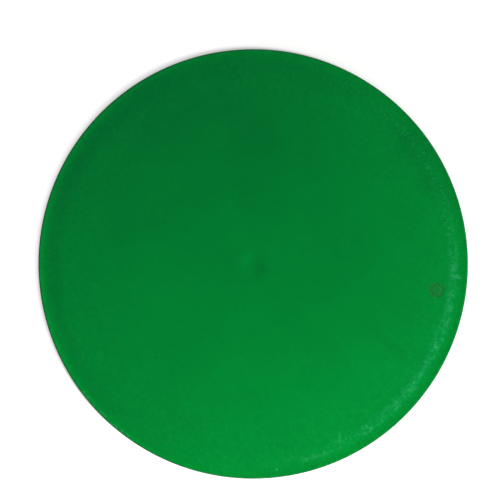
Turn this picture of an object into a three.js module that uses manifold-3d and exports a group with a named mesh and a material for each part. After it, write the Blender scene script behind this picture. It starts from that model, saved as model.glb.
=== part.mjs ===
// Floor marker: a flat, round spot of soft green plastic that is laid on a floor or a pitch.
// It is one moulding. It lies on the XY plane with its middle on the Z axis. Millimetres, +Z up.

import * as THREE from 'three';
import { mergeVertices } from 'three/addons/utils/BufferGeometryUtils.js';
import Module from 'manifold-3d';

const wasm = await Module();
wasm.setup();

// The disc, from its outer edge inwards: a low rim, a shallow ring-shaped hollow and a flat crown.
// The rim and the crown are equally high. The hollow rises steeply to the rim and gently to the crown,
// where its straight slope runs out into the flat.
const discDiameter = 230;
const crownThickness = 2.5;
const rimRounding = 0.8;
const footRounding = 0.5;
const hollowDepth = 0.6;
const hollowRimWidth = 4;
const hollowCrownWidth = 9;
const hollowCrownSlope = 5.3;

// Dimple in the middle of the crown, above the place where the mould was filled
const dimpleDiameter = 18;
const dimpleDepth = 1;

// Cut-off filling stub on the underside, in a recess that keeps it clear of the floor
const stubDiameter = 4;
const stubHeight = 0.4;
const stubClearance = 0.3;
const stubRecessDiameter = 16;
const recessDraft = 0.4;

// Grip grooves around the underside, spread evenly between an outer and an inner land
const grooveCount = 4;
const outerLandWidth = 9;
const innerLandWidth = 29;
const grooveWidth = 2.4;
const grooveDepth = 0.5;
const grooveDraft = 0.5;

// Round moulded mark where the crown meets the hollow: a plain dial with ticks and a pointer
const markDiameter = 7.8;
const markDepth = 0.2;
const markEdgeDistance = 12;
const markBearing = -8;
const dialDiameter = 4.8;
const tickCount = 12;
const tickLength = 0.7;
const tickWidth = 0.4;
const pointerLength = 3.4;
const pointerWidth = 1.6;
const pointerDepth = 0.15;

// Steps of the round forms
const discSides = 96;
const markSides = 32;
const rimSteps = 4;
const footSteps = 2;
const hollowSteps = 6;
const shoulderSteps = 3;
const dimpleSteps = 6;

// Corners of neighbouring triangles that lie closer than this are one point
const weldDistance = 0.00001;

// Worked out from the sizes above
const discRadius = discDiameter / 2;
const footRadius = discRadius - footRounding;
const rimRadius = discRadius - rimRounding;
const hollowRadius = rimRadius - hollowRimWidth;
const crownRadius = hollowRadius - hollowCrownWidth;
const hollowHeight = crownThickness - hollowDepth;

// The hollow's arc touches the rounding of the rim. A straight slope joins it to the crown's shoulder.
const crownSlope = THREE.MathUtils.degToRad(hollowCrownSlope);
const rimTouch = (hollowRimWidth ** 2 + hollowDepth ** 2) / (2 * hollowDepth);
const hollowRounding = rimTouch - rimRounding;
const slopeTouch = (hollowCrownWidth * Math.sin(crownSlope) - hollowDepth * Math.cos(crownSlope))
  / (1 - Math.cos(crownSlope));
const shoulderRounding = slopeTouch - hollowRounding;
const hollowRimSlope = THREE.MathUtils.radToDeg(Math.asin(hollowRimWidth / rimTouch));

const dimpleRadius = dimpleDiameter / 2;
const stubRadius = stubDiameter / 2;
const stubRecessRadius = stubRecessDiameter / 2;
const stubRecessDepth = stubHeight + stubClearance;
const markRadius = markDiameter / 2;
const dialRadius = dialDiameter / 2;
const markCentre = discRadius - markEdgeDistance - markRadius;

function degrees(angle) {
  return THREE.MathUtils.degToRad(angle);
}

// Points on a circle's arc, both ends included, as distance from the axis and height
function arcPoints(middle, height, radius, from, to, steps) {
  const points = [];
  for (let step = 0; step <= steps; step += 1) {
    const angle = degrees(from + ((to - from) * step) / steps);
    points.push(new THREE.Vector2(middle + radius * Math.cos(angle), height + radius * Math.sin(angle)));
  }
  return points;
}

// Points on half a cosine wave, which leaves and arrives level, both ends included
function easedPoints(fromRadius, fromHeight, toRadius, toHeight, steps) {
  const points = [];
  for (let step = 0; step <= steps; step += 1) {
    const share = step / steps;
    const rise = (1 - Math.cos(Math.PI * share)) / 2;
    const radius = THREE.MathUtils.lerp(fromRadius, toRadius, share);
    const height = THREE.MathUtils.lerp(fromHeight, toHeight, rise);
    points.push(new THREE.Vector2(radius, height));
  }
  return points;
}

// Middles of the grip grooves, from the innermost outwards
function grooveRadii() {
  const radii = [];
  const innermost = stubRecessRadius + innerLandWidth + grooveWidth / 2;
  const outermost = footRadius - outerLandWidth - grooveWidth / 2;
  for (let groove = 0; groove < grooveCount; groove += 1) {
    radii.push(THREE.MathUtils.lerp(innermost, outermost, groove / (grooveCount - 1)));
  }
  return radii;
}

// One groove with sloping sides, as four points of the underside
function groovePoints(radius) {
  const mouth = grooveWidth / 2;
  const floor = mouth - Math.min(grooveDraft, mouth / 2);
  return [
    new THREE.Vector2(radius - mouth, 0),
    new THREE.Vector2(radius - floor, grooveDepth),
    new THREE.Vector2(radius + floor, grooveDepth),
    new THREE.Vector2(radius + mouth, 0),
  ];
}

// The cut-off stub and the recess around it
function stubPoints() {
  return [
    new THREE.Vector2(0, stubClearance),
    new THREE.Vector2(stubRadius, stubClearance),
    new THREE.Vector2(stubRadius, stubRecessDepth),
    new THREE.Vector2(stubRecessRadius - recessDraft, stubRecessDepth),
    new THREE.Vector2(stubRecessRadius, 0),
  ];
}

// From the rim in through the lowest ring of the hollow and up to the crown
function hollowPoints() {
  const hollowMiddle = hollowHeight + hollowRounding;
  const shoulderMiddle = crownThickness - shoulderRounding;
  const from = hollowRimSlope - 90;
  const to = -90 - hollowCrownSlope;
  return [
    ...arcPoints(hollowRadius, hollowMiddle, hollowRounding, from, to, hollowSteps),
    ...arcPoints(crownRadius, shoulderMiddle, shoulderRounding, 180 + to, 90, shoulderSteps),
  ];
}

// Half of the disc's section: out along the underside, up round the rim and in along the top
function discSection() {
  return [
    ...stubPoints(),
    ...grooveRadii().flatMap(groovePoints),
    ...arcPoints(footRadius, footRounding, footRounding, -90, 0, footSteps),
    ...arcPoints(rimRadius, crownThickness - rimRounding, rimRounding, 0, 90 + hollowRimSlope, rimSteps),
    ...hollowPoints().slice(1),
    ...easedPoints(dimpleRadius, crownThickness, 0, crownThickness - dimpleDepth, dimpleSteps),
  ];
}

// A closed mesh as a solid that can be joined and cut
function toSolid(geometry) {
  const bare = geometry.clone();
  bare.deleteAttribute('normal');
  bare.deleteAttribute('uv');
  const merged = mergeVertices(bare, weldDistance);
  const corners = [];
  for (let corner = 0; corner < merged.index.count; corner += 3) {
    const triangle = [0, 1, 2].map((offset) => merged.index.getX(corner + offset));
    if (new Set(triangle).size === 3) {
      corners.push(...triangle);
    }
  }
  const vertProperties = new Float32Array(merged.attributes.position.array);
  const triVerts = new Uint32Array(corners);
  return new wasm.Manifold(new wasm.Mesh({ numProp: 3, vertProperties, triVerts }));
}

// A solid back as three.js geometry
function toGeometry(solid) {
  const mesh = solid.getMesh();
  const geometry = new THREE.BufferGeometry();
  geometry.setAttribute('position', new THREE.BufferAttribute(new Float32Array(mesh.vertProperties), 3));
  geometry.setIndex(new THREE.BufferAttribute(new Uint32Array(mesh.triVerts), 1));
  geometry.computeVertexNormals();
  return geometry;
}

// The disc without its mark, as a solid of revolution about the Z axis
function plainDisc() {
  const geometry = new THREE.LatheGeometry(discSection(), discSides);
  geometry.rotateX(Math.PI / 2);
  return toSolid(geometry);
}

// Moves a form from the Z axis to the mark's place near the rim
function atMark(geometry) {
  geometry.translate(markCentre, 0, 0);
  geometry.rotateZ(degrees(markBearing));
  return geometry;
}

// An upright cylinder at the mark, as deep below the crown as it stands above it
function markCylinder(radius, depth) {
  const geometry = new THREE.CylinderGeometry(radius, radius, 2 * depth, markSides);
  geometry.rotateX(Math.PI / 2);
  geometry.translate(0, 0, crownThickness);
  return toSolid(atMark(geometry));
}

// One tick, which is left standing between the wall of the mark and its dial
function markTick(index) {
  const geometry = new THREE.BoxGeometry(tickLength, tickWidth, 2 * markDepth);
  geometry.translate((markRadius + dialRadius) / 2, 0, crownThickness);
  geometry.rotateZ(degrees((360 * index) / tickCount));
  return toSolid(atMark(geometry));
}

// The pointer, a slim triangle sunk into the dial
function markPointer() {
  const outline = new THREE.Shape();
  outline.moveTo(pointerLength / 2, 0);
  outline.lineTo(-pointerLength / 2, pointerWidth / 2);
  outline.lineTo(-pointerLength / 2, -pointerWidth / 2);
  outline.closePath();
  const geometry = new THREE.ExtrudeGeometry(outline, { depth: 2 * pointerDepth, bevelEnabled: false });
  geometry.translate(0, 0, crownThickness - pointerDepth);
  return toSolid(atMark(geometry));
}

// What the mark takes out of the crown: the ring round the dial, less its ticks, and the pointer
function markCut() {
  let ring = markCylinder(markRadius, markDepth).subtract(markCylinder(dialRadius, markDepth));
  for (let index = 0; index < tickCount; index += 1) {
    ring = ring.subtract(markTick(index));
  }
  return ring.add(markPointer());
}

const softPlastic = new THREE.MeshStandardMaterial({ color: 0x017c31, roughness: 0.5, metalness: 0 });

const markerDisc = new THREE.Mesh(toGeometry(plainDisc().subtract(markCut())), softPlastic);
markerDisc.name = 'marker_disc';

const floorMarker = new THREE.Group();
floorMarker.add(markerDisc);

export default floorMarker;
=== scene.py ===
import math

import bpy
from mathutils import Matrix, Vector


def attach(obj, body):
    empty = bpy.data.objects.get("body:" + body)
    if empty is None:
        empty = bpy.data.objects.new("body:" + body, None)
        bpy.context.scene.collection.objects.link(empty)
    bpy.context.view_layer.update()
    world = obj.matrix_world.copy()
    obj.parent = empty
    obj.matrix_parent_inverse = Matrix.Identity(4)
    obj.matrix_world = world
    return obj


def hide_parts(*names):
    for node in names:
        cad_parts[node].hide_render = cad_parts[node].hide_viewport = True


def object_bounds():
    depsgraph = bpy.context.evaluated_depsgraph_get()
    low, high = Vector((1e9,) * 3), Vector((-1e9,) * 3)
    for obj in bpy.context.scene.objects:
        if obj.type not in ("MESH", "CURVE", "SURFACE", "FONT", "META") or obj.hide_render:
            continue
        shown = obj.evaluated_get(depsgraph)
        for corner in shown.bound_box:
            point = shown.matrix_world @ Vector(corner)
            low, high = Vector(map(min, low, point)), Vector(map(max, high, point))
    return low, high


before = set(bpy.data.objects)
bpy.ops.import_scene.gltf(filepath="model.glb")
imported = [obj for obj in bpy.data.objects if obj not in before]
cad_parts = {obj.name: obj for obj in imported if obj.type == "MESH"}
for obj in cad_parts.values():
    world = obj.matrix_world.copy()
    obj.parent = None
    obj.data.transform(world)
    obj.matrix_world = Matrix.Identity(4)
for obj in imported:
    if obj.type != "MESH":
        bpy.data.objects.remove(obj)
cadLow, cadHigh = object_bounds()
mm = 0.001
scene = bpy.context.scene
print("frame loaded, box in mm:", [round(side / mm, 2) for side in cadHigh - cadLow])


# Node trees: a wire is one socket, and sums on wires add their own nodes

class Wire:
    def __init__(self, maker, socket):
        self.maker = maker
        self.socket = socket

    def math(self, operation, *others, clamp=False):
        settings = {"operation": operation, "use_clamp": clamp}
        return self.maker.add("ShaderNodeMath", settings, dict(enumerate((self, *others))))

    def __add__(self, other):
        return self.math("ADD", other)

    def __radd__(self, other):
        return self.math("ADD", other)

    def __sub__(self, other):
        return self.math("SUBTRACT", other)

    def __rsub__(self, other):
        return self.maker.add("ShaderNodeMath", {"operation": "SUBTRACT"}, {0: other, 1: self})

    def __mul__(self, other):
        return self.math("MULTIPLY", other)

    def __rmul__(self, other):
        return self.math("MULTIPLY", other)

    def __truediv__(self, other):
        return self.math("DIVIDE", other)

    def __rtruediv__(self, other):
        return self.maker.add("ShaderNodeMath", {"operation": "DIVIDE"}, {0: other, 1: self})


class Maker:
    def __init__(self, tree):
        self.tree = tree

    def add(self, kind, settings=None, sockets=None, output=0):
        made = self.tree.nodes.new(kind)
        for name, value in (settings or {}).items():
            setattr(made, name, value)
        for name, value in (sockets or {}).items():
            if isinstance(value, Wire):
                self.tree.links.new(value.socket, made.inputs[name])
            else:
                made.inputs[name].default_value = value
        return Wire(self, made.outputs[output])

    def xyz(self, vector):
        split = self.add("ShaderNodeSeparateXYZ", {}, {0: vector}).socket.node
        return [Wire(self, out) for out in split.outputs]

    def vector(self, x, y, z):
        return self.add("ShaderNodeCombineXYZ", {}, {0: x, 1: y, 2: z})

    def scaled(self, vector, factor):
        return self.add("ShaderNodeVectorMath", {"operation": "SCALE"}, {0: vector, "Scale": factor})

    def noise(self, vector, size, detail=2.0, roughness=0.5, seed=0.0):
        sockets = {
            "Vector": vector,
            "W": seed,
            "Scale": 1.0 / size,
            "Detail": detail,
            "Roughness": roughness,
        }
        return self.add("ShaderNodeTexNoise", {"noise_dimensions": "4D"}, sockets)

    def smooth(self, value, low, high):        # 0 below low, 1 above high, eased between
        settings = {"interpolation_type": "SMOOTHSTEP"}
        return self.add("ShaderNodeMapRange", settings, {"Value": value, "From Min": low, "From Max": high})

    def band(self, value, rise, fall):        # 1 between the two ramps, 0 outside them
        return self.smooth(value, *rise) * (1.0 - self.smooth(value, *fall))

    def cameraSees(self):        # 1 for rays that show the surroundings, 0 for those that light the disc
        path = self.tree.nodes.new("ShaderNodeLightPath")
        names = ("Is Camera Ray", "Is Glossy Ray", "Is Transmission Ray")
        seen = [Wire(self, path.outputs[name]) for name in names]
        return (seen[0] + seen[1]).math("ADD", seen[2], clamp=True)

    def mixColour(self, factor, first, second, blend="MIX"):
        settings = {"data_type": "RGBA", "blend_type": blend}
        return self.add("ShaderNodeMix", settings, {0: factor, 6: first, 7: second}, output=2)


# Moulded disc: the section of the CAD solid, drawn finer

disc = {
    "radius": (cadHigh.x - cadLow.x) / 2,
    "crown": cadHigh.z,
    "rimRounding": 0.8 * mm,
    "footRounding": 0.5 * mm,
    "hollowDepth": 0.6 * mm,
    "hollowRimWidth": 4.0 * mm,
    "hollowCrownWidth": 9.0 * mm,
    "crownSlope": math.radians(5.3),
    "dimpleRadius": 9.0 * mm,
    "dimpleDepth": 1.0 * mm,
    "stubRadius": 2.0 * mm,
    "stubClearance": 0.3 * mm,
    "recessRadius": 8.0 * mm,
    "recessDepth": 0.7 * mm,
    "recessDraft": 0.4 * mm,
    "grooveCount": 4,
    "outerLand": 9.0 * mm,
    "innerLand": 29.0 * mm,
    "grooveWidth": 2.4 * mm,
    "grooveDepth": 0.5 * mm,
    "grooveDraft": 0.5 * mm,
    "edgeRounding": 0.15 * mm,
    "crownStep": 2.5 * mm,
    "dimpleStep": 0.6 * mm,
    "hollowStep": 0.4 * mm,
    "undersideStep": 5.0 * mm,
    "sides": 280,
    "footSteps": 5,
    "rimSteps": 10,
    "hollowArcSteps": 10,
    "filletSteps": 4,
    "warpHeight": 0.12 * mm,
    "warpSize": 70.0 * mm,
    "warpSeed": 3.0,
    "warpLevel": 0.62,        # where the warp's wave is above this, the top stays as it is
    "warpFrom": 0.5,        # share of the crown's height at which the warp begins
    "warpFull": 0.65,
    "weldDistance": 0.001 * mm,
}
disc["footRadius"] = disc["radius"] - disc["footRounding"]
disc["rimRadius"] = disc["radius"] - disc["rimRounding"]
disc["hollowRadius"] = disc["rimRadius"] - disc["hollowRimWidth"]
disc["crownRadius"] = disc["hollowRadius"] - disc["hollowCrownWidth"]


# The hollow's arc touches the rounding of the rim, and a straight slope joins it to the crown's shoulder

def hollowArcs():
    depth, rimWidth, crownWidth = disc["hollowDepth"], disc["hollowRimWidth"], disc["hollowCrownWidth"]
    slope = disc["crownSlope"]
    outer = (rimWidth ** 2 + depth ** 2) / (2 * depth)
    inner = (crownWidth * math.sin(slope) - depth * math.cos(slope)) / (1 - math.cos(slope))
    disc["rimSlope"] = math.asin(rimWidth / outer)
    disc["hollowRounding"] = outer - disc["rimRounding"]
    disc["crownRounding"] = inner - disc["hollowRounding"]


hollowArcs()

mark = {
    "bearing": math.radians(-8.0),
    "radius": 3.9 * mm,
    "depth": 0.2 * mm,
    "edgeDistance": 12.0 * mm,
    "dialRadius": 2.4 * mm,
    "wallDraft": 0.25 * mm,
    "edgeRounding": 0.12 * mm,
    "ticks": 12,
    "tickLength": 0.7 * mm,
    "tickWidth": 0.4 * mm,
    "pointerLength": 3.4 * mm,
    "pointerWidth": 1.6 * mm,
    "pointerDepth": 0.15 * mm,
    "softEdge": 0.12 * mm,
    "pointerSoftEdge": 0.1 * mm,
    "filletSteps": 3,
    "ringStep": 0.16 * mm,
    "collar": 0.6 * mm,
    "blendSteps": 6,
    "windowHalf": 5.4 * mm,
    "windowCells": 24,
}
mark["centre"] = disc["radius"] - mark["edgeDistance"] - mark["radius"]


def eased(share):        # half a cosine wave from 0 to 1
    share = min(max(share, 0.0), 1.0)
    return (1 - math.cos(math.pi * share)) / 2


def hollowFall(out):        # how far the hollow lies below the crown, out past the crown's edge
    if out <= 0:
        return 0.0
    hollow, crown, slope = disc["hollowRounding"], disc["crownRounding"], disc["crownSlope"]
    toLowest = disc["hollowCrownWidth"] - out
    if out < crown * math.sin(slope):
        return crown - math.sqrt(crown ** 2 - out ** 2)
    if toLowest < hollow * math.sin(slope):
        return disc["hollowDepth"] - hollow + math.sqrt(hollow ** 2 - toLowest ** 2)
    straight = out - crown * math.sin(slope)
    return crown * (1 - math.cos(slope)) + straight * math.tan(slope)


def topHeight(radius):        # the crown with its dimple, out to the lowest ring of the hollow
    dimple = disc["dimpleDepth"] * (1 - eased(radius / disc["dimpleRadius"]))
    return disc["crown"] - dimple - hollowFall(radius - disc["crownRadius"])


def evenSteps(low, high, step):        # places from low to high, both included, no further apart than step
    slack = 1e-6
    count = max(1, math.ceil((high - low) / step - slack))
    return [low + (high - low) * i / count for i in range(count + 1)]


def filleted(corners, rounding, steps):        # a line of (radius, height), its inner corners rounded
    longest = 0.4        # share of a side that one rounding may take
    points = [Vector(corners[0])]
    for before, corner, after in zip(corners, corners[1:], corners[2:]):
        before, corner, after = Vector(before), Vector(corner), Vector(after)
        cut = min(rounding, (corner - before).length * longest, (after - corner).length * longest)
        start = corner + (before - corner).normalized() * cut
        end = corner + (after - corner).normalized() * cut
        for i in range(steps + 1):
            t = i / steps
            points.append(start * (1 - t) ** 2 + corner * (2 * t * (1 - t)) + end * t ** 2)
    points.append(Vector(corners[-1]))
    return points


def spread(points, step):        # more points on long straight stretches
    full = [points[0]]
    for start, end in zip(points, points[1:]):
        count = max(1, math.ceil((end - start).length / step))
        full += [start.lerp(end, i / count) for i in range(1, count + 1)]
    return full


def arc(middle, height, radius, low, high, steps):        # turns in degrees, both ends included
    points = []
    for i in range(steps + 1):
        angle = math.radians(low + (high - low) * i / steps)
        points.append(Vector((middle + radius * math.cos(angle), height + radius * math.sin(angle))))
    return points


def undersideSection():        # from the axis out to where the foot starts to round up
    roof = disc["recessDepth"]
    corners = [
        (0.0, disc["stubClearance"]),
        (disc["stubRadius"], disc["stubClearance"]),
        (disc["stubRadius"], roof),
        (disc["recessRadius"] - disc["recessDraft"], roof),
        (disc["recessRadius"], 0.0),
    ]
    mouth = disc["grooveWidth"] / 2
    floor = mouth - disc["grooveDraft"]
    first = disc["recessRadius"] + disc["innerLand"] + mouth
    last = disc["footRadius"] - disc["outerLand"] - mouth
    for i in range(disc["grooveCount"]):
        middle = first + (last - first) * i / (disc["grooveCount"] - 1)
        corners += [
            (middle - mouth, 0.0),
            (middle - floor, disc["grooveDepth"]),
            (middle + floor, disc["grooveDepth"]),
            (middle + mouth, 0.0),
        ]
    corners.append((disc["footRadius"], 0.0))
    return spread(filleted(corners, disc["edgeRounding"], disc["filletSteps"]), disc["undersideStep"])


windowLow = mark["centre"] - mark["windowHalf"]
windowHigh = mark["centre"] + mark["windowHalf"]
windowTurn = mark["windowHalf"] / mark["centre"]
windowCell = 2 * mark["windowHalf"] / mark["windowCells"]


def topRadii():        # from the lowest ring of the hollow in to the axis, with lines for the mark's window
    radii = evenSteps(0.0, disc["dimpleRadius"], disc["dimpleStep"])
    radii += evenSteps(disc["dimpleRadius"], windowLow, disc["crownStep"])[1:]
    radii += evenSteps(windowLow, windowHigh, windowCell)[1:]
    radii += evenSteps(windowHigh, disc["hollowRadius"], disc["hollowStep"])[1:]
    return radii[::-1]


def discSection():        # out along the underside, up round the rim and in along the top to the axis
    foot, rounding, hollow = disc["footRounding"], disc["rimRounding"], disc["hollowRounding"]
    hollowMiddle = disc["crown"] - disc["hollowDepth"] + hollow
    slope = math.degrees(disc["rimSlope"])
    foot = arc(disc["footRadius"], foot, foot, -90, 0, disc["footSteps"])
    rim = arc(disc["rimRadius"], disc["crown"] - rounding, rounding, 0, 90 + slope, disc["rimSteps"])
    inner = arc(disc["hollowRadius"], hollowMiddle, hollow, slope - 90, -90, disc["hollowArcSteps"])
    top = [Vector((radius, topHeight(radius))) for radius in topRadii()]
    return undersideSection() + foot[1:] + rim + inner[1:-1] + top


def discBearings():        # fine through the mark's window, then evenly round to where it began
    start = mark["bearing"] - windowTurn
    end = mark["bearing"] + windowTurn
    full = start + 2 * math.pi
    through = evenSteps(start, end, (end - start) / mark["windowCells"])
    rest = evenSteps(end, full, (full - end) / disc["sides"])
    return through + rest[1:]


def pointObject(name, places):        # points alone, which a node tree reads by number
    mesh = bpy.data.meshes.new(name)
    mesh.from_pydata(places, [], [])
    made = bpy.data.objects.new(name, mesh)
    scene.collection.objects.link(made)
    return made


# The mark: rings round its middle, which meet the disc on the edge of a square window

def windowEdge():        # (radius, bearing) of the window's edge, counter-clockwise from its outer middle
    cells = mark["windowCells"]
    half = cells // 2
    side = [(half, i) for i in range(0, half)]
    side += [(half - i, half) for i in range(0, cells)]
    side += [(-half, half - i) for i in range(0, cells)]
    side += [(-half + i, -half) for i in range(0, cells)]
    side += [(half, -half + i) for i in range(0, half)]
    places = []
    for out, turn in side:
        radius = mark["centre"] + out * windowCell
        bearing = mark["bearing"] + turn * 2 * windowTurn / cells
        places.append((radius, bearing))
    return places


def markRings():        # (distance from the mark's middle, depth) from the window in to the middle
    draft, deep = mark["wallDraft"], mark["depth"]
    outer, dial = mark["radius"], mark["dialRadius"]
    profile = [
        (outer + mark["collar"], 0.0),
        (outer, 0.0),
        (outer - draft, deep),
        (dial + draft, deep),
        (dial, 0.0),
        (0.0, 0.0),
    ]
    return spread(filleted(profile, mark["edgeRounding"], mark["filletSteps"]), mark["ringStep"])


def tickShare(distance, angle):        # 1 on a tick, 0 beside it
    ringMiddle = (mark["radius"] + mark["dialRadius"]) / 2
    turn = 2 * math.pi / mark["ticks"]
    off = abs((angle + turn / 2) % turn - turn / 2) * distance
    along = abs(distance - ringMiddle)
    beside = 1 - eased((off - mark["tickWidth"] / 2) / mark["softEdge"])
    ahead = 1 - eased((along - mark["tickLength"] / 2) / mark["softEdge"])
    return beside * ahead


def pointerShare(out, across):        # 1 in the pointer, 0 beside it
    half = mark["pointerLength"] / 2
    width = mark["pointerWidth"] / 2 * (half - out) / mark["pointerLength"]
    beside = 1 - eased((abs(across) - width) / mark["pointerSoftEdge"])
    ahead = 1 - eased((abs(out) - half) / mark["pointerSoftEdge"])
    return beside * ahead if width > 0 else 0.0


def markWindow(name):
    edge = windowEdge()
    count = len(edge)
    rings = markRings()
    blendSteps = mark["blendSteps"]
    collar = rings[0][0]
    turned = Vector((math.cos(mark["bearing"]), math.sin(mark["bearing"])))
    aside = Vector((-turned.y, turned.x))
    middle = turned * mark["centre"]
    vertices = []
    for step in range(blendSteps):
        share = step / blendSteps
        for i, (radius, bearing) in enumerate(edge):
            angle = 2 * math.pi * i / count
            corner = Vector((math.cos(bearing), math.sin(bearing))) * radius
            circle = middle + (turned * math.cos(angle) + aside * math.sin(angle)) * collar
            flat = corner.lerp(circle, share)
            vertices.append((flat.x, flat.y, topHeight(flat.length)))
    for distance, depth in rings[:-1]:
        for i in range(count):
            angle = 2 * math.pi * i / count
            out, across = distance * math.cos(angle), distance * math.sin(angle)
            flat = middle + turned * out + aside * across
            lift = depth * tickShare(distance, angle)
            sunk = mark["pointerDepth"] * pointerShare(out, across)
            vertices.append((flat.x, flat.y, topHeight(flat.length) - depth + lift - sunk))
    vertices.append((middle.x, middle.y, disc["crown"] - mark["pointerDepth"]))
    faces = []
    rows = blendSteps + len(rings) - 1
    for row in range(rows - 1):
        for i in range(count):
            j = (i + 1) % count
            a, b = row * count + i, row * count + j
            faces.append((a, b, b + count, a + count))
    last = (rows - 1) * count
    faces += [(last + i, last + (i + 1) % count, len(vertices) - 1) for i in range(count)]
    mesh = bpy.data.meshes.new(name)
    mesh.from_pydata(vertices, [], faces)
    made = bpy.data.objects.new(name, mesh)
    scene.collection.objects.link(made)
    return made


def addInputs(tree, sockets):
    for name, kind, value in sockets:
        socket = tree.interface.new_socket(name=name, in_out="INPUT", socket_type=kind)
        if value is not None:
            socket.default_value = value


def mouldingTree():        # turns a section round the Z axis, welds in the mark and warps the top a little
    tree = bpy.data.node_groups.new("moulding", "GeometryNodeTree")
    addInputs(tree, [
        ("Section", "NodeSocketGeometry", None),
        ("Bearings", "NodeSocketObject", None),
        ("Window", "NodeSocketObject", None),
        ("Window First Ring", "NodeSocketInt", 0),
        ("Window Cells", "NodeSocketInt", 0),
        ("Warp Height", "NodeSocketFloat", 0.0),
        ("Warp Size", "NodeSocketFloat", 1.0),
        ("Warp Seed", "NodeSocketFloat", 0.0),
        ("Warp Level", "NodeSocketFloat", 0.0),
        ("Warp From", "NodeSocketFloat", 0.0),
        ("Warp Full", "NodeSocketFloat", 1.0),
        ("Weld Distance", "NodeSocketFloat", 0.0),
        ("Material", "NodeSocketMaterial", None),
    ])
    tree.interface.new_socket(name="Geometry", in_out="OUTPUT", socket_type="NodeSocketGeometry")
    make = Maker(tree)
    given = tree.nodes.new("NodeGroupInput")
    wires = {out.name: Wire(make, out) for out in given.outputs if out.name}
    bearings = make.add("GeometryNodeObjectInfo", {}, {"Object": wires["Bearings"]}, output="Geometry")
    window = make.add("GeometryNodeObjectInfo", {}, {"Object": wires["Window"]}, output="Geometry")

    def pointCount(geometry):
        return make.add("GeometryNodeAttributeDomainSize", {"component": "MESH"}, {0: geometry})

    def placeOf(geometry, index):
        position = make.add("GeometryNodeInputPosition")
        settings = {"data_type": "FLOAT_VECTOR", "domain": "POINT"}
        sockets = {0: geometry, "Value": position, "Index": index}
        return make.add("GeometryNodeSampleIndex", settings, sockets)

    def whole(operation, first, second):        # sums on whole numbers
        return make.add("FunctionNodeIntegerMath", {"operation": operation}, {0: first, 1: second})

    def rowAndPlace(index, size):        # which row of a grid an item is in, and its place along the row
        return whole("DIVIDE_FLOOR", index, size), whole("MODULO", index, size)

    def compared(operation, first, second):
        settings = {"data_type": "INT", "operation": operation}
        return make.add("FunctionNodeCompare", settings, {2: first, 3: second})

    def both(first, second):
        return make.add("FunctionNodeBooleanMath", {"operation": "AND"}, {0: first, 1: second})

    def between(value, low, high):        # true where low <= value < high
        return both(compared("GREATER_EQUAL", value, low), compared("LESS_THAN", value, high))

    rings, lines = pointCount(wires["Section"]), pointCount(bearings)
    grid = make.add("GeometryNodeMeshGrid", {}, {"Vertices X": rings, "Vertices Y": lines})
    index = make.add("GeometryNodeInputIndex")

    faceRing, faceLine = rowAndPlace(index, whole("SUBTRACT", lines, 1))
    firstRing, cells = wires["Window First Ring"], wires["Window Cells"]
    ringInside = between(faceRing, firstRing, whole("ADD", firstRing, cells))
    inWindow = both(ringInside, between(faceLine, 0, cells))

    ring, line = rowAndPlace(index, lines)
    sectionX, _, sectionZ = make.xyz(placeOf(wires["Section"], ring))
    bearing = make.xyz(placeOf(bearings, line))[0]
    turned = make.vector(sectionX * bearing.math("COSINE"), sectionX * bearing.math("SINE"), sectionZ)
    body = make.add("GeometryNodeSetPosition", {}, {"Geometry": grid, "Position": turned})
    windowFaces = {"Geometry": body, "Selection": inWindow}
    body = make.add("GeometryNodeDeleteGeometry", {"domain": "FACE"}, windowFaces)
    body = make.add("GeometryNodeFlipFaces", {}, {"Mesh": body})
    moulding = make.add("GeometryNodeJoinGeometry")
    for part in (window, body):
        tree.links.new(part.socket, moulding.socket.node.inputs[0])
    weld = {"Geometry": moulding, "Distance": wires["Weld Distance"]}
    moulding = make.add("GeometryNodeMergeByDistance", {}, weld)

    position = make.add("GeometryNodeInputPosition")
    height = make.xyz(position)[2]
    wave = make.noise(position, wires["Warp Size"], detail=1.0, seed=wires["Warp Seed"])
    onTop = make.smooth(height, wires["Warp From"], wires["Warp Full"])
    lift = (wave - wires["Warp Level"]) * wires["Warp Height"] * 2.0 * onTop
    offset = make.vector(0.0, 0.0, lift.math("MINIMUM", 0.0))
    moulding = make.add("GeometryNodeSetPosition", {}, {"Geometry": moulding, "Offset": offset})
    moulding = make.add("GeometryNodeSetShadeSmooth", {}, {0: moulding})
    moulding = make.add("GeometryNodeRealizeInstances", {}, {0: moulding})
    dressed = {"Geometry": moulding, "Material": wires["Material"]}
    moulding = make.add("GeometryNodeSetMaterial", {}, dressed)
    out = tree.nodes.new("NodeGroupOutput")
    tree.links.new(moulding.socket, out.inputs[0])
    return tree


def applyTree(carrier, tree, values, name):        # runs the tree on the carrier and keeps a plain mesh
    modifier = carrier.modifiers.new("making", "NODES")
    modifier.node_group = tree
    inputs = [item for item in tree.interface.items_tree if item.in_out == "INPUT"]
    identifiers = {item.name: item.identifier for item in inputs}
    for socket, value in values.items():
        modifier[identifiers[socket]] = value
    bpy.context.view_layer.update()
    evaluated = carrier.evaluated_get(bpy.context.evaluated_depsgraph_get())
    mesh = bpy.data.meshes.new_from_object(evaluated)
    carrier.modifiers.remove(modifier)
    mesh.name = name
    made = bpy.data.objects.new(name, mesh)
    scene.collection.objects.link(made)
    return made


# Soft green plastic

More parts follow.
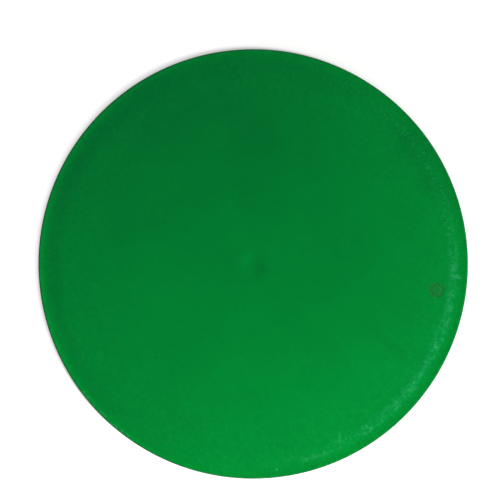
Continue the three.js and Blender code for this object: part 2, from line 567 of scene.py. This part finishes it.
plastic = {
    "green": (0.0, 0.191, 0.0168, 1.0),
    # the rim's green, lighter and more vivid: painted glow of light through the thin rim
    "rimGlowGreen": (0.0, 0.201, 0.0156, 1.0),
    # the side wall's green, painted darker: painted shade on the wall
    "shadedWallGreen": (0.0, 0.088, 0.008, 1.0),
    "dirt": (0.007, 0.148, 0.0142, 1.0),
    # pale colour for scuffs and chips, and for painted highlight flecks
    "paleScuffAndGlint": (0.034, 0.335, 0.128, 1.0),
    "specularTint": (0.08, 1.0, 1.0, 1.0),
    "specularLevel": 0.22,
    "cloudStrength": 0.28,
    "mottleStrength": 0.36,
    "mottleInside": 0.55,        # share of the mottling that is left away from the edge
    "roughness": 0.22,
    "fleckRoughness": 0.32,
    "undersideRoughness": 0.2,
    "wallRoughness": 0.3,
    "grainHeight": 0.004,        # this and the next three: the relief, in millimetres
    "unevenHeight": 0.1,
    "fleckHeight": 0.11,
    "mottleHeight": 0.02,
    "mottleHeightInside": 0.4,        # share of it that is left away from the edge
    "fleckLength": 2.2,        # outwards, and its width round the edge, in millimetres
    "fleckWidth": 1.3,
}

noises = {        # sizes in millimetres, the fleck's in its own lengths and widths
    "cloud": {"size": 32.0, "detail": 4.0, "roughness": 0.62, "seed": 1.0},
    "mottle": {"size": 2.6, "detail": 3.0, "roughness": 0.6, "seed": 2.0},
    "fleck": {"size": 1.0, "detail": 2.0, "roughness": 0.55, "seed": 3.0},
    "grain": {"size": 0.45, "detail": 2.0, "roughness": 0.6, "seed": 4.0},
    "uneven": {"size": 7.0, "detail": 2.0, "roughness": 0.5, "seed": 5.0},
    "smudge": {"size": 1.4, "detail": 2.0, "roughness": 0.6, "seed": 6.0},
    "glintPatch": {"size": 3.2, "detail": 3.0, "roughness": 0.65, "seed": 7.0},
}

zones = {        # ramps in millimetres, as (from, to), and bands as two ramps, up and down
    "nearEdge": (60.0, 105.0),        # distance from the axis
    "onRim": (-0.6, 1.6),        # this and the next four: distance out from the hollow's lowest ring
    "inHollow": ((-8.0, -4.0), (-1.5, 1.0)),
    "onSlope": ((-10.0, -6.5), (-5.0, -1.5)),
    "lowest": ((-6.8, -3.0), (-2.0, 0.5)),
    "rimFoot": ((-0.6, 0.9), (1.5, 3.0)),
    "onWall": (0.0, 0.45),        # this and the next: distance out from where the rim rounds off
    "onEdge": (-1.4, -0.6),
    "pastLeft": (-95.0, -60.0),        # this and the next two: place from left to right
    "pastMiddle": (-60.0, -15.0),
    "rightSide": (20.0, 80.0),
    "lowerRight": (60.0, 95.0),        # place along a line to the lower right
    "lowerRightTurn": math.radians(-35.0),
    "onTop": (0.8, 1.3),        # this and the next: height
    "aboveFoot": (0.3, 0.9),
    "stain": (2.6, 5.6),        # this and the next: distance from the mark's middle
    "stainRing": ((1.6, 2.8), (3.4, 4.8)),
    "edgeGlint": (0.15, 0.32),        # turn along the edge, in radians, from the middle of the painted highlight on the lower left edge
    "edgeGlintBearing": math.radians(-132.0),
}

marks = {        # ramps over a noise, as (from, to), and how much of each mark of use, painted shade and painted highlight there is
    "hollowLight": 0.01,
    # painted shade on the left of the hollow: how much, evenly and in specks
    "leftHollowShade": 0.045,
    "leftHollowShadeEven": 0.4,
    "leftHollowShadeSpeck": (0.48, 0.62),
    "smudge": (0.52, 0.66),
    "smudgeShade": 0.12,
    "slopeShade": 0.033,
    "rimFootShade": 0.09,
    # painted highlight: pale patches in the hollow to the lower right
    "glintPatch": (0.46, 0.66),
    "glintPatchPale": 0.28,
    "fleck": (0.54, 0.68),
    "fleckPale": 0.06,
    # painted highlight: the flecks' extra paleness in the lit hollow on the right
    "glintFleckPale": 0.26,
    "chip": (0.53, 0.6),
    "chipPale": 0.06,
    # painted highlight: the chips' extra paleness at the lower left edge
    "edgeGlintPale": 0.3,
    "stainEven": 0.75,
    "stainSmudge": 1.6,
    "stainRing": 0.35,
}

spots = {        # (middle), (half length, half width), turn in degrees, strength
    "fadeFrom": 0.35,        # share of the way out at which a spot begins to fade
    "patches": [        # lighter or darker
        ((5.0, 67.0), (15.0, 17.0), 0.0, -0.085),
        ((-16.5, 69.0), (9.0, 5.0), 70.0, 0.045),
        ((-41.0, 53.0), (22.0, 15.0), 0.0, 0.03),
        ((39.0, 85.0), (13.0, 8.0), 0.0, 0.035),
        ((84.5, 51.0), (9.0, 7.0), -30.0, 0.055),
        ((92.5, 41.5), (8.0, 6.0), 0.0, -0.055),
        ((77.0, -47.0), (12.0, 4.0), -40.0, -0.07),
        ((66.0, -38.0), (9.0, 3.5), -30.0, -0.045),
        ((26.5, -52.7), (10.0, 1.8), 12.0, 0.05),
        ((22.5, 18.0), (26.0, 5.5), 88.0, 0.025),
        ((68.0, 26.0), (30.0, 12.0), 90.0, 0.02),
        # the next two: the dimple's lower right darker, its shaded side: painted shade
        ((5.2, -4.6), (7.0, 6.0), 0.0, -0.03),
        ((1.0, -8.0), (8.0, 4.0), 0.0, -0.02),
        ((94.0, 54.5), (38.0, 16.0), 120.0, -0.13),
        # lighter over the lower right, where the light falls most: painted light
        ((72.0, -62.0), (60.0, 36.0), 45.0, 0.05),
        ((-54.0, 23.0), (12.0, 0.9), -6.5, -0.06),
        ((-77.3, 45.8), (0.9, 0.8), 0.0, -0.25),
        ((-52.7, -50.0), (0.9, 0.7), 0.0, -0.2),
    ],
    "scuffs": [        # pale
        ((108.6, -7.0), (4.2, 0.9), -18.0, 0.4),
        ((110.0, -6.6), (2.6, 0.7), -35.0, 0.35),
        ((46.3, -93.0), (4.5, 0.8), 90.0, 0.25),
        ((12.6, -110.0), (0.8, 0.7), 0.0, 0.7),
    ],
}


def softSpot(make, x, y, spot):        # 1 in the middle of a soft oval, 0 outside it
    (middleX, middleY), (length, width), turn, strength = spot
    cosine, sine = math.cos(math.radians(turn)), math.sin(math.radians(turn))
    across, up = x - middleX, y - middleY
    along = (across * cosine + up * sine) / length
    beside = (up * cosine - across * sine) / width
    distance = (along * along + beside * beside).math("SQRT")
    return (1.0 - make.smooth(distance, spots["fadeFrom"], 1.0)) * strength


class Surface:        # the places and noises that the plastic's colour and relief are made from
    def __init__(self, make):
        place = make.add("ShaderNodeTexCoord", output="Object")
        self.inMm = make.scaled(place, 1.0 / mm)
        self.x, self.y, self.z = make.xyz(self.inMm)
        self.radius = (self.x * self.x + self.y * self.y).math("SQRT")
        self.bearing = self.y.math("ARCTAN2", self.x)
        rim = disc["rimRadius"] / mm
        self.pastLowest = self.radius - disc["hollowRadius"] / mm
        self.pastRim = self.radius - rim
        self.nearEdge = make.smooth(self.radius, *zones["nearEdge"])
        self.onRim = make.smooth(self.pastLowest, *zones["onRim"])
        self.onWall = make.smooth(self.pastRim, *zones["onWall"])
        self.inHollow = make.band(self.pastLowest, *zones["inHollow"])
        self.lowest = make.band(self.pastLowest, *zones["lowest"])
        self.rightSide = make.smooth(self.x, *zones["rightSide"])
        self.onTop = make.smooth(self.z, *zones["onTop"])
        turn = zones["lowerRightTurn"]
        downRight = self.x * math.cos(turn) + self.y * math.sin(turn)
        self.lowerRight = make.smooth(downRight, *zones["lowerRight"])
        self.mottle = make.noise(self.inMm, **noises["mottle"])
        self.smudge = make.noise(self.inMm, **noises["smudge"])
        aroundEdge = self.bearing * (rim / plastic["fleckWidth"])
        spokes = make.vector(aroundEdge, self.radius / plastic["fleckLength"], self.z)
        self.fleck = make.noise(spokes, **noises["fleck"])


def plasticLight(make, at):        # how bright the green is: clouds, mottling and spots, with painted shade in the hollow (on its left, in specks on its right, on its slope to the lower right), at the rim's foot on the left half and on the dimple's lower right
    cloud = make.noise(at.inMm, **noises["cloud"])
    speck = make.smooth(at.smudge, *marks["leftHollowShadeSpeck"])
    leftSide = 1.0 - make.smooth(at.x, *zones["pastLeft"])
    leftHalf = 1.0 - make.smooth(at.x, *zones["pastMiddle"])
    # painted shade: the hollow darker on its left, the side turned away from the light, broken into specks
    leftHollowShade = leftSide * (marks["leftHollowShadeEven"] + speck) * marks["leftHollowShade"]
    # painted shade: dark specks in the lit hollow on the right
    rightShadeSpecks = make.smooth(at.smudge, *marks["smudge"]) * at.rightSide
    # painted shade: the crown side of the hollow darker on the right, more so to the lower right
    onSlope = make.band(at.pastLowest, *zones["onSlope"]) * at.rightSide
    # painted shade: the foot of the rim's inner face darker, on the left half only
    rimFoot = make.band(at.pastLowest, *zones["rimFoot"])
    inside = plastic["mottleInside"]
    mottled = (at.mottle - 0.5) * (inside + at.nearEdge * (1.0 - inside))
    light = 1.0 + (cloud - 0.5) * plastic["cloudStrength"]
    light = light + mottled * plastic["mottleStrength"]
    change = at.inHollow * (marks["hollowLight"] - leftHollowShade)
    change = change - at.inHollow * rightShadeSpecks * marks["smudgeShade"]
    change = change - onSlope * (1.0 + at.lowerRight) * marks["slopeShade"]
    change = change - rimFoot * leftHalf * marks["rimFootShade"]
    for spot in spots["patches"]:
        change = change + softSpot(make, at.x, at.y, spot)
    return light + change * at.onTop


def plasticScuffsAndGlints(make, at):        # how pale the plastic is: real flecks, scuffs and chips, and painted highlight in pale flecks and patches on the lit hollow to the right and lower right and along the lower left edge
    # painted highlight: pale patches in the lowest ring of the hollow to the lower right, where the light
    # glints
    glintPatch = make.noise(at.inMm, **noises["glintPatch"])
    glintPatch = make.smooth(glintPatch, *marks["glintPatch"]) * at.lowest * at.lowerRight
    # pale flecks near the edge all round, stronger in the lowest ring on the right: painted highlight
    # sparkle there
    paleness = marks["fleckPale"] + at.lowest * at.rightSide * marks["glintFleckPale"]
    scuffed = make.smooth(at.fleck, *marks["fleck"]) * at.nearEdge * paleness
    scuffed = scuffed + glintPatch * marks["glintPatchPale"]
    for spot in spots["scuffs"]:
        scuffed = scuffed.math("MAXIMUM", softSpot(make, at.x, at.y, spot))
    # painted highlight: pale flecks along the edge, strongest at the lower left where the edge catches the
    # light; a few real chips all round
    fromEdgeGlint = (at.bearing - zones["edgeGlintBearing"]).math("ABSOLUTE")
    edgeGlint = 1.0 - make.smooth(fromEdgeGlint, *zones["edgeGlint"])
    onEdge = make.smooth(at.pastRim, *zones["onEdge"])
    paleness = marks["chipPale"] + edgeGlint * marks["edgeGlintPale"]
    chips = make.smooth(at.mottle, *marks["chip"]) * onEdge * paleness
    return scuffed.math("MAXIMUM", chips)


def markStain(make, at):        # the brownish stain on the mark
    markX = math.cos(mark["bearing"]) * mark["centre"] / mm
    markY = math.sin(mark["bearing"]) * mark["centre"] / mm
    besideX, besideY = at.x - markX, at.y - markY
    fromMark = (besideX * besideX + besideY * besideY).math("SQRT")
    strength = marks["stainEven"] + (at.smudge - 0.5) * marks["stainSmudge"]
    stained = (1.0 - make.smooth(fromMark, *zones["stain"])) * strength
    stained = stained + make.band(fromMark, *zones["stainRing"]) * marks["stainRing"]
    return stained.math("MAXIMUM", 0.0).math("MINIMUM", 1.0)


def plasticHeight(make, at):        # relief in millimetres
    grain = make.noise(at.inMm, **noises["grain"])
    uneven = make.noise(at.inMm, **noises["uneven"])
    inside = plastic["mottleHeightInside"]
    mottled = at.mottle * (inside + at.nearEdge * (1.0 - inside))
    height = grain * plastic["grainHeight"] + uneven * at.nearEdge * plastic["unevenHeight"]
    height = height + mottled * plastic["mottleHeight"]
    return height + at.fleck * at.nearEdge * plastic["fleckHeight"]


def softPlastic():
    material = bpy.data.materials.new("softGreenPlastic")
    material.use_nodes = True
    tree = material.node_tree
    tree.nodes.clear()
    make = Maker(tree)
    at = Surface(make)
    light = plasticLight(make, at)
    # painted light: the rim lighter, as light glowing through its thin plastic
    colour = make.mixColour(at.onRim, plastic["green"], plastic["rimGlowGreen"])
    # painted shade: the side wall darker
    colour = make.mixColour(at.onWall, colour, plastic["shadedWallGreen"])
    colour = make.mixColour(markStain(make, at) * at.onTop, colour, plastic["dirt"])
    # pale scuffs and chips, with painted highlight flecks and patches
    colour = make.mixColour(plasticScuffsAndGlints(make, at) * at.onTop, colour, plastic["paleScuffAndGlint"])
    colour = make.mixColour(1.0, colour, make.vector(light, light, light), "MULTIPLY")
    relief = {"Strength": 1.0, "Distance": mm, "Height": plasticHeight(make, at)}
    onUnderside = 1.0 - make.smooth(at.z, *zones["aboveFoot"])
    rough = plastic["roughness"] + (at.fleck - 0.5) * plastic["fleckRoughness"] * at.nearEdge
    rough = rough + onUnderside * plastic["undersideRoughness"] + at.onWall * plastic["wallRoughness"]
    shader = make.add("ShaderNodeBsdfPrincipled", {}, {
        "Base Color": colour,
        "Roughness": rough,
        "Normal": make.add("ShaderNodeBump", {}, relief),
        "Specular IOR Level": plastic["specularLevel"],
        "Specular Tint": plastic["specularTint"],
    })
    out = tree.nodes.new("ShaderNodeOutputMaterial")
    tree.links.new(shader.socket, out.inputs["Surface"])
    return material


section = discSection()
hollowSteps = len(evenSteps(windowHigh, disc["hollowRadius"], disc["hollowStep"])) - 1
windowFirstRing = len(section) - len(topRadii()) + hollowSteps
carrier = pointObject("section", [(point.x, 0.0, point.y) for point in section])
bearingPoints = pointObject("bearings", [(bearing, 0.0, 0.0) for bearing in discBearings()])
windowPiece = markWindow("window")
mouldedDisc = applyTree(carrier, mouldingTree(), {
    "Bearings": bearingPoints,
    "Window": windowPiece,
    "Window First Ring": windowFirstRing,
    "Window Cells": mark["windowCells"],
    "Warp Height": disc["warpHeight"],
    "Warp Size": disc["warpSize"],
    "Warp Seed": disc["warpSeed"],
    "Warp Level": disc["warpLevel"],
    "Warp From": disc["crown"] * disc["warpFrom"],
    "Warp Full": disc["crown"] * disc["warpFull"],
    "Weld Distance": disc["weldDistance"],
    "Material": softPlastic(),
}, "moulded_disc")
for helper in (carrier, bearingPoints, windowPiece):
    bpy.data.objects.remove(helper)
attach(mouldedDisc, "root")
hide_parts("marker_disc")
print("moulded disc:", len(mouldedDisc.data.vertices), "points,", len(mouldedDisc.data.polygons), "faces")


# Floor, lamps, surroundings and camera

studio = {
    "frameWidth": 267.43 * mm,
    "lookAt": (-1.70 * mm, 7.47 * mm),
    "lens": 90.0,
    "sensor": 36.0,
    "ambient": 0.32,
    "floorSize": 6.0,
    "floorDrop": 0.02 * mm,
    "floorGrey": (0.85, 0.85, 0.85, 1.0),
    "glow": 0.472,        # in the middle of the floor
    "glowSlope": -0.0023,        # per millimetre to the right
    "glowLeast": 0.2,
    "glowMost": 0.75,
    "glowAway": (122.0, 190.0),        # where the glow rises to its most, in millimetres from the axis
    "shadowReach": 12.0 * mm,
}
white = (1.0, 1.0, 1.0, 1.0)


# The floor shows just white where nothing shades it: its glow is stronger where the lamps reach less,
# and the disc hides some of it, as it would hide a pale room's light

def floorGlow(make):
    place = make.add("ShaderNodeTexCoord", output="Object")
    x, y, _ = make.xyz(make.scaled(place, 1.0 / mm))
    away = make.smooth((x * x + y * y).math("SQRT"), *studio["glowAway"])
    near = x * studio["glowSlope"] + studio["glow"]
    near = near.math("MAXIMUM", studio["glowLeast"]).math("MINIMUM", studio["glowMost"])
    reach = {"Distance": studio["shadowReach"]}
    unblocked = make.add("ShaderNodeAmbientOcclusion", {"samples": 16}, reach, output="AO")
    glow = (near + (studio["glowMost"] - near) * away) * unblocked
    return make.vector(glow, glow, glow)


def floorMaterial():
    material = bpy.data.materials.new("paleFloor")
    material.use_nodes = True
    tree = material.node_tree
    tree.nodes.clear()
    make = Maker(tree)
    plain = make.add("ShaderNodeBsdfDiffuse", {}, {"Color": studio["floorGrey"]})
    glow = make.add("ShaderNodeEmission", {}, {"Color": floorGlow(make), "Strength": 1.0})
    both = make.add("ShaderNodeAddShader", {}, {0: plain, 1: glow})
    mixed = make.add("ShaderNodeMixShader", {}, {0: make.cameraSees(), 1: plain, 2: both})
    out = tree.nodes.new("ShaderNodeOutputMaterial")
    tree.links.new(mixed.socket, out.inputs["Surface"])
    return material


def squareFloor(size, height):
    half = size / 2
    mesh = bpy.data.meshes.new("floor")
    corners = [(-half, -half, height), (half, -half, height), (half, half, height), (-half, half, height)]
    mesh.from_pydata(corners, [], [(0, 1, 2, 3)])
    mesh.materials.append(floorMaterial())
    made = bpy.data.objects.new("floor", mesh)
    scene.collection.objects.link(made)
    return made


squareFloor(studio["floorSize"], -studio["floorDrop"])
print("floor laid")

lamps = {        # place and aim in the disc's frame, size across, power in watts
    "sideBox": {
        "kind": "AREA",
        "place": (300.9 * mm, -51.8 * mm, 198.9 * mm),
        "aim": (0.0, 0.0),
        "size": 110.0 * mm,
        "power": 0.954,
        "colour": (1.0, 0.99, 0.97),
        "glint": False,
    },
    "featheredSpot": {
        "kind": "SPOT",
        "place": (400.0 * mm, -394.0 * mm, 370.0 * mm),
        "aim": (-97.0 * mm, -230.0 * mm),
        "size": 60.0 * mm,
        "power": 18.0,
        "beam": 54.3,
        "colour": (1.0, 0.99, 0.98),
        "glint": False,
    },
    "glintBox": {
        "kind": "AREA",
        "place": (401.0 * mm, -236.0 * mm, 700.0 * mm),
        "aim": (0.0, 0.0),
        "size": 520.0 * mm,
        "height": 120.0 * mm,
        "power": 0.72,
        "colour": (1.0, 1.0, 1.0),
        "glint": True,
    },
}


def studioLamp(name, sizes):
    lamp = bpy.data.lights.new(name, sizes["kind"])
    if sizes["kind"] == "SPOT":        # its beam fades evenly from the middle out
        lamp.spot_size = math.radians(sizes["beam"])
        lamp.spot_blend = 1.0
        lamp.shadow_soft_size = sizes["size"] / 2
    else:
        lamp.shape = "RECTANGLE"
        lamp.size = sizes["size"]
        lamp.size_y = sizes.get("height", sizes["size"])
    lamp.energy = sizes["power"]
    lamp.color = sizes["colour"]
    made = bpy.data.objects.new(name, lamp)
    made.location = sizes["place"]
    aim = Vector((*sizes["aim"], 0.0))
    made.rotation_euler = (aim - made.location).to_track_quat("-Z", "Y").to_euler()
    made.visible_camera = False
    made.visible_glossy = sizes["glint"]
    scene.collection.objects.link(made)
    return made


for lampName, lampSizes in lamps.items():
    studioLamp(lampName, lampSizes)
print("lamps set:", len(lamps))


def paleWorld():
    world = bpy.data.worlds.new("studio")
    scene.world = world
    world.use_nodes = True
    tree = world.node_tree
    tree.nodes.clear()
    make = Maker(tree)
    ambient = make.add("ShaderNodeBackground", {}, {"Color": white, "Strength": studio["ambient"]})
    backdrop = make.add("ShaderNodeBackground", {}, {"Color": white, "Strength": 1.0})
    mixed = make.add("ShaderNodeMixShader", {}, {0: make.cameraSees(), 1: ambient, 2: backdrop})
    out = tree.nodes.new("ShaderNodeOutputWorld")
    tree.links.new(mixed.socket, out.inputs["Surface"])


paleWorld()


def overheadCamera():
    camera = bpy.data.cameras.new("camera")
    camera.lens = studio["lens"]
    camera.sensor_width = studio["sensor"]
    made = bpy.data.objects.new("camera", camera)
    distance = studio["frameWidth"] * studio["lens"] / studio["sensor"]
    x, y = studio["lookAt"]
    made.location = (x, y, disc["crown"] + distance)
    scene.collection.objects.link(made)
    scene.camera = made


overheadCamera()
scene.view_settings.view_transform = "Standard"

print("scene ready")
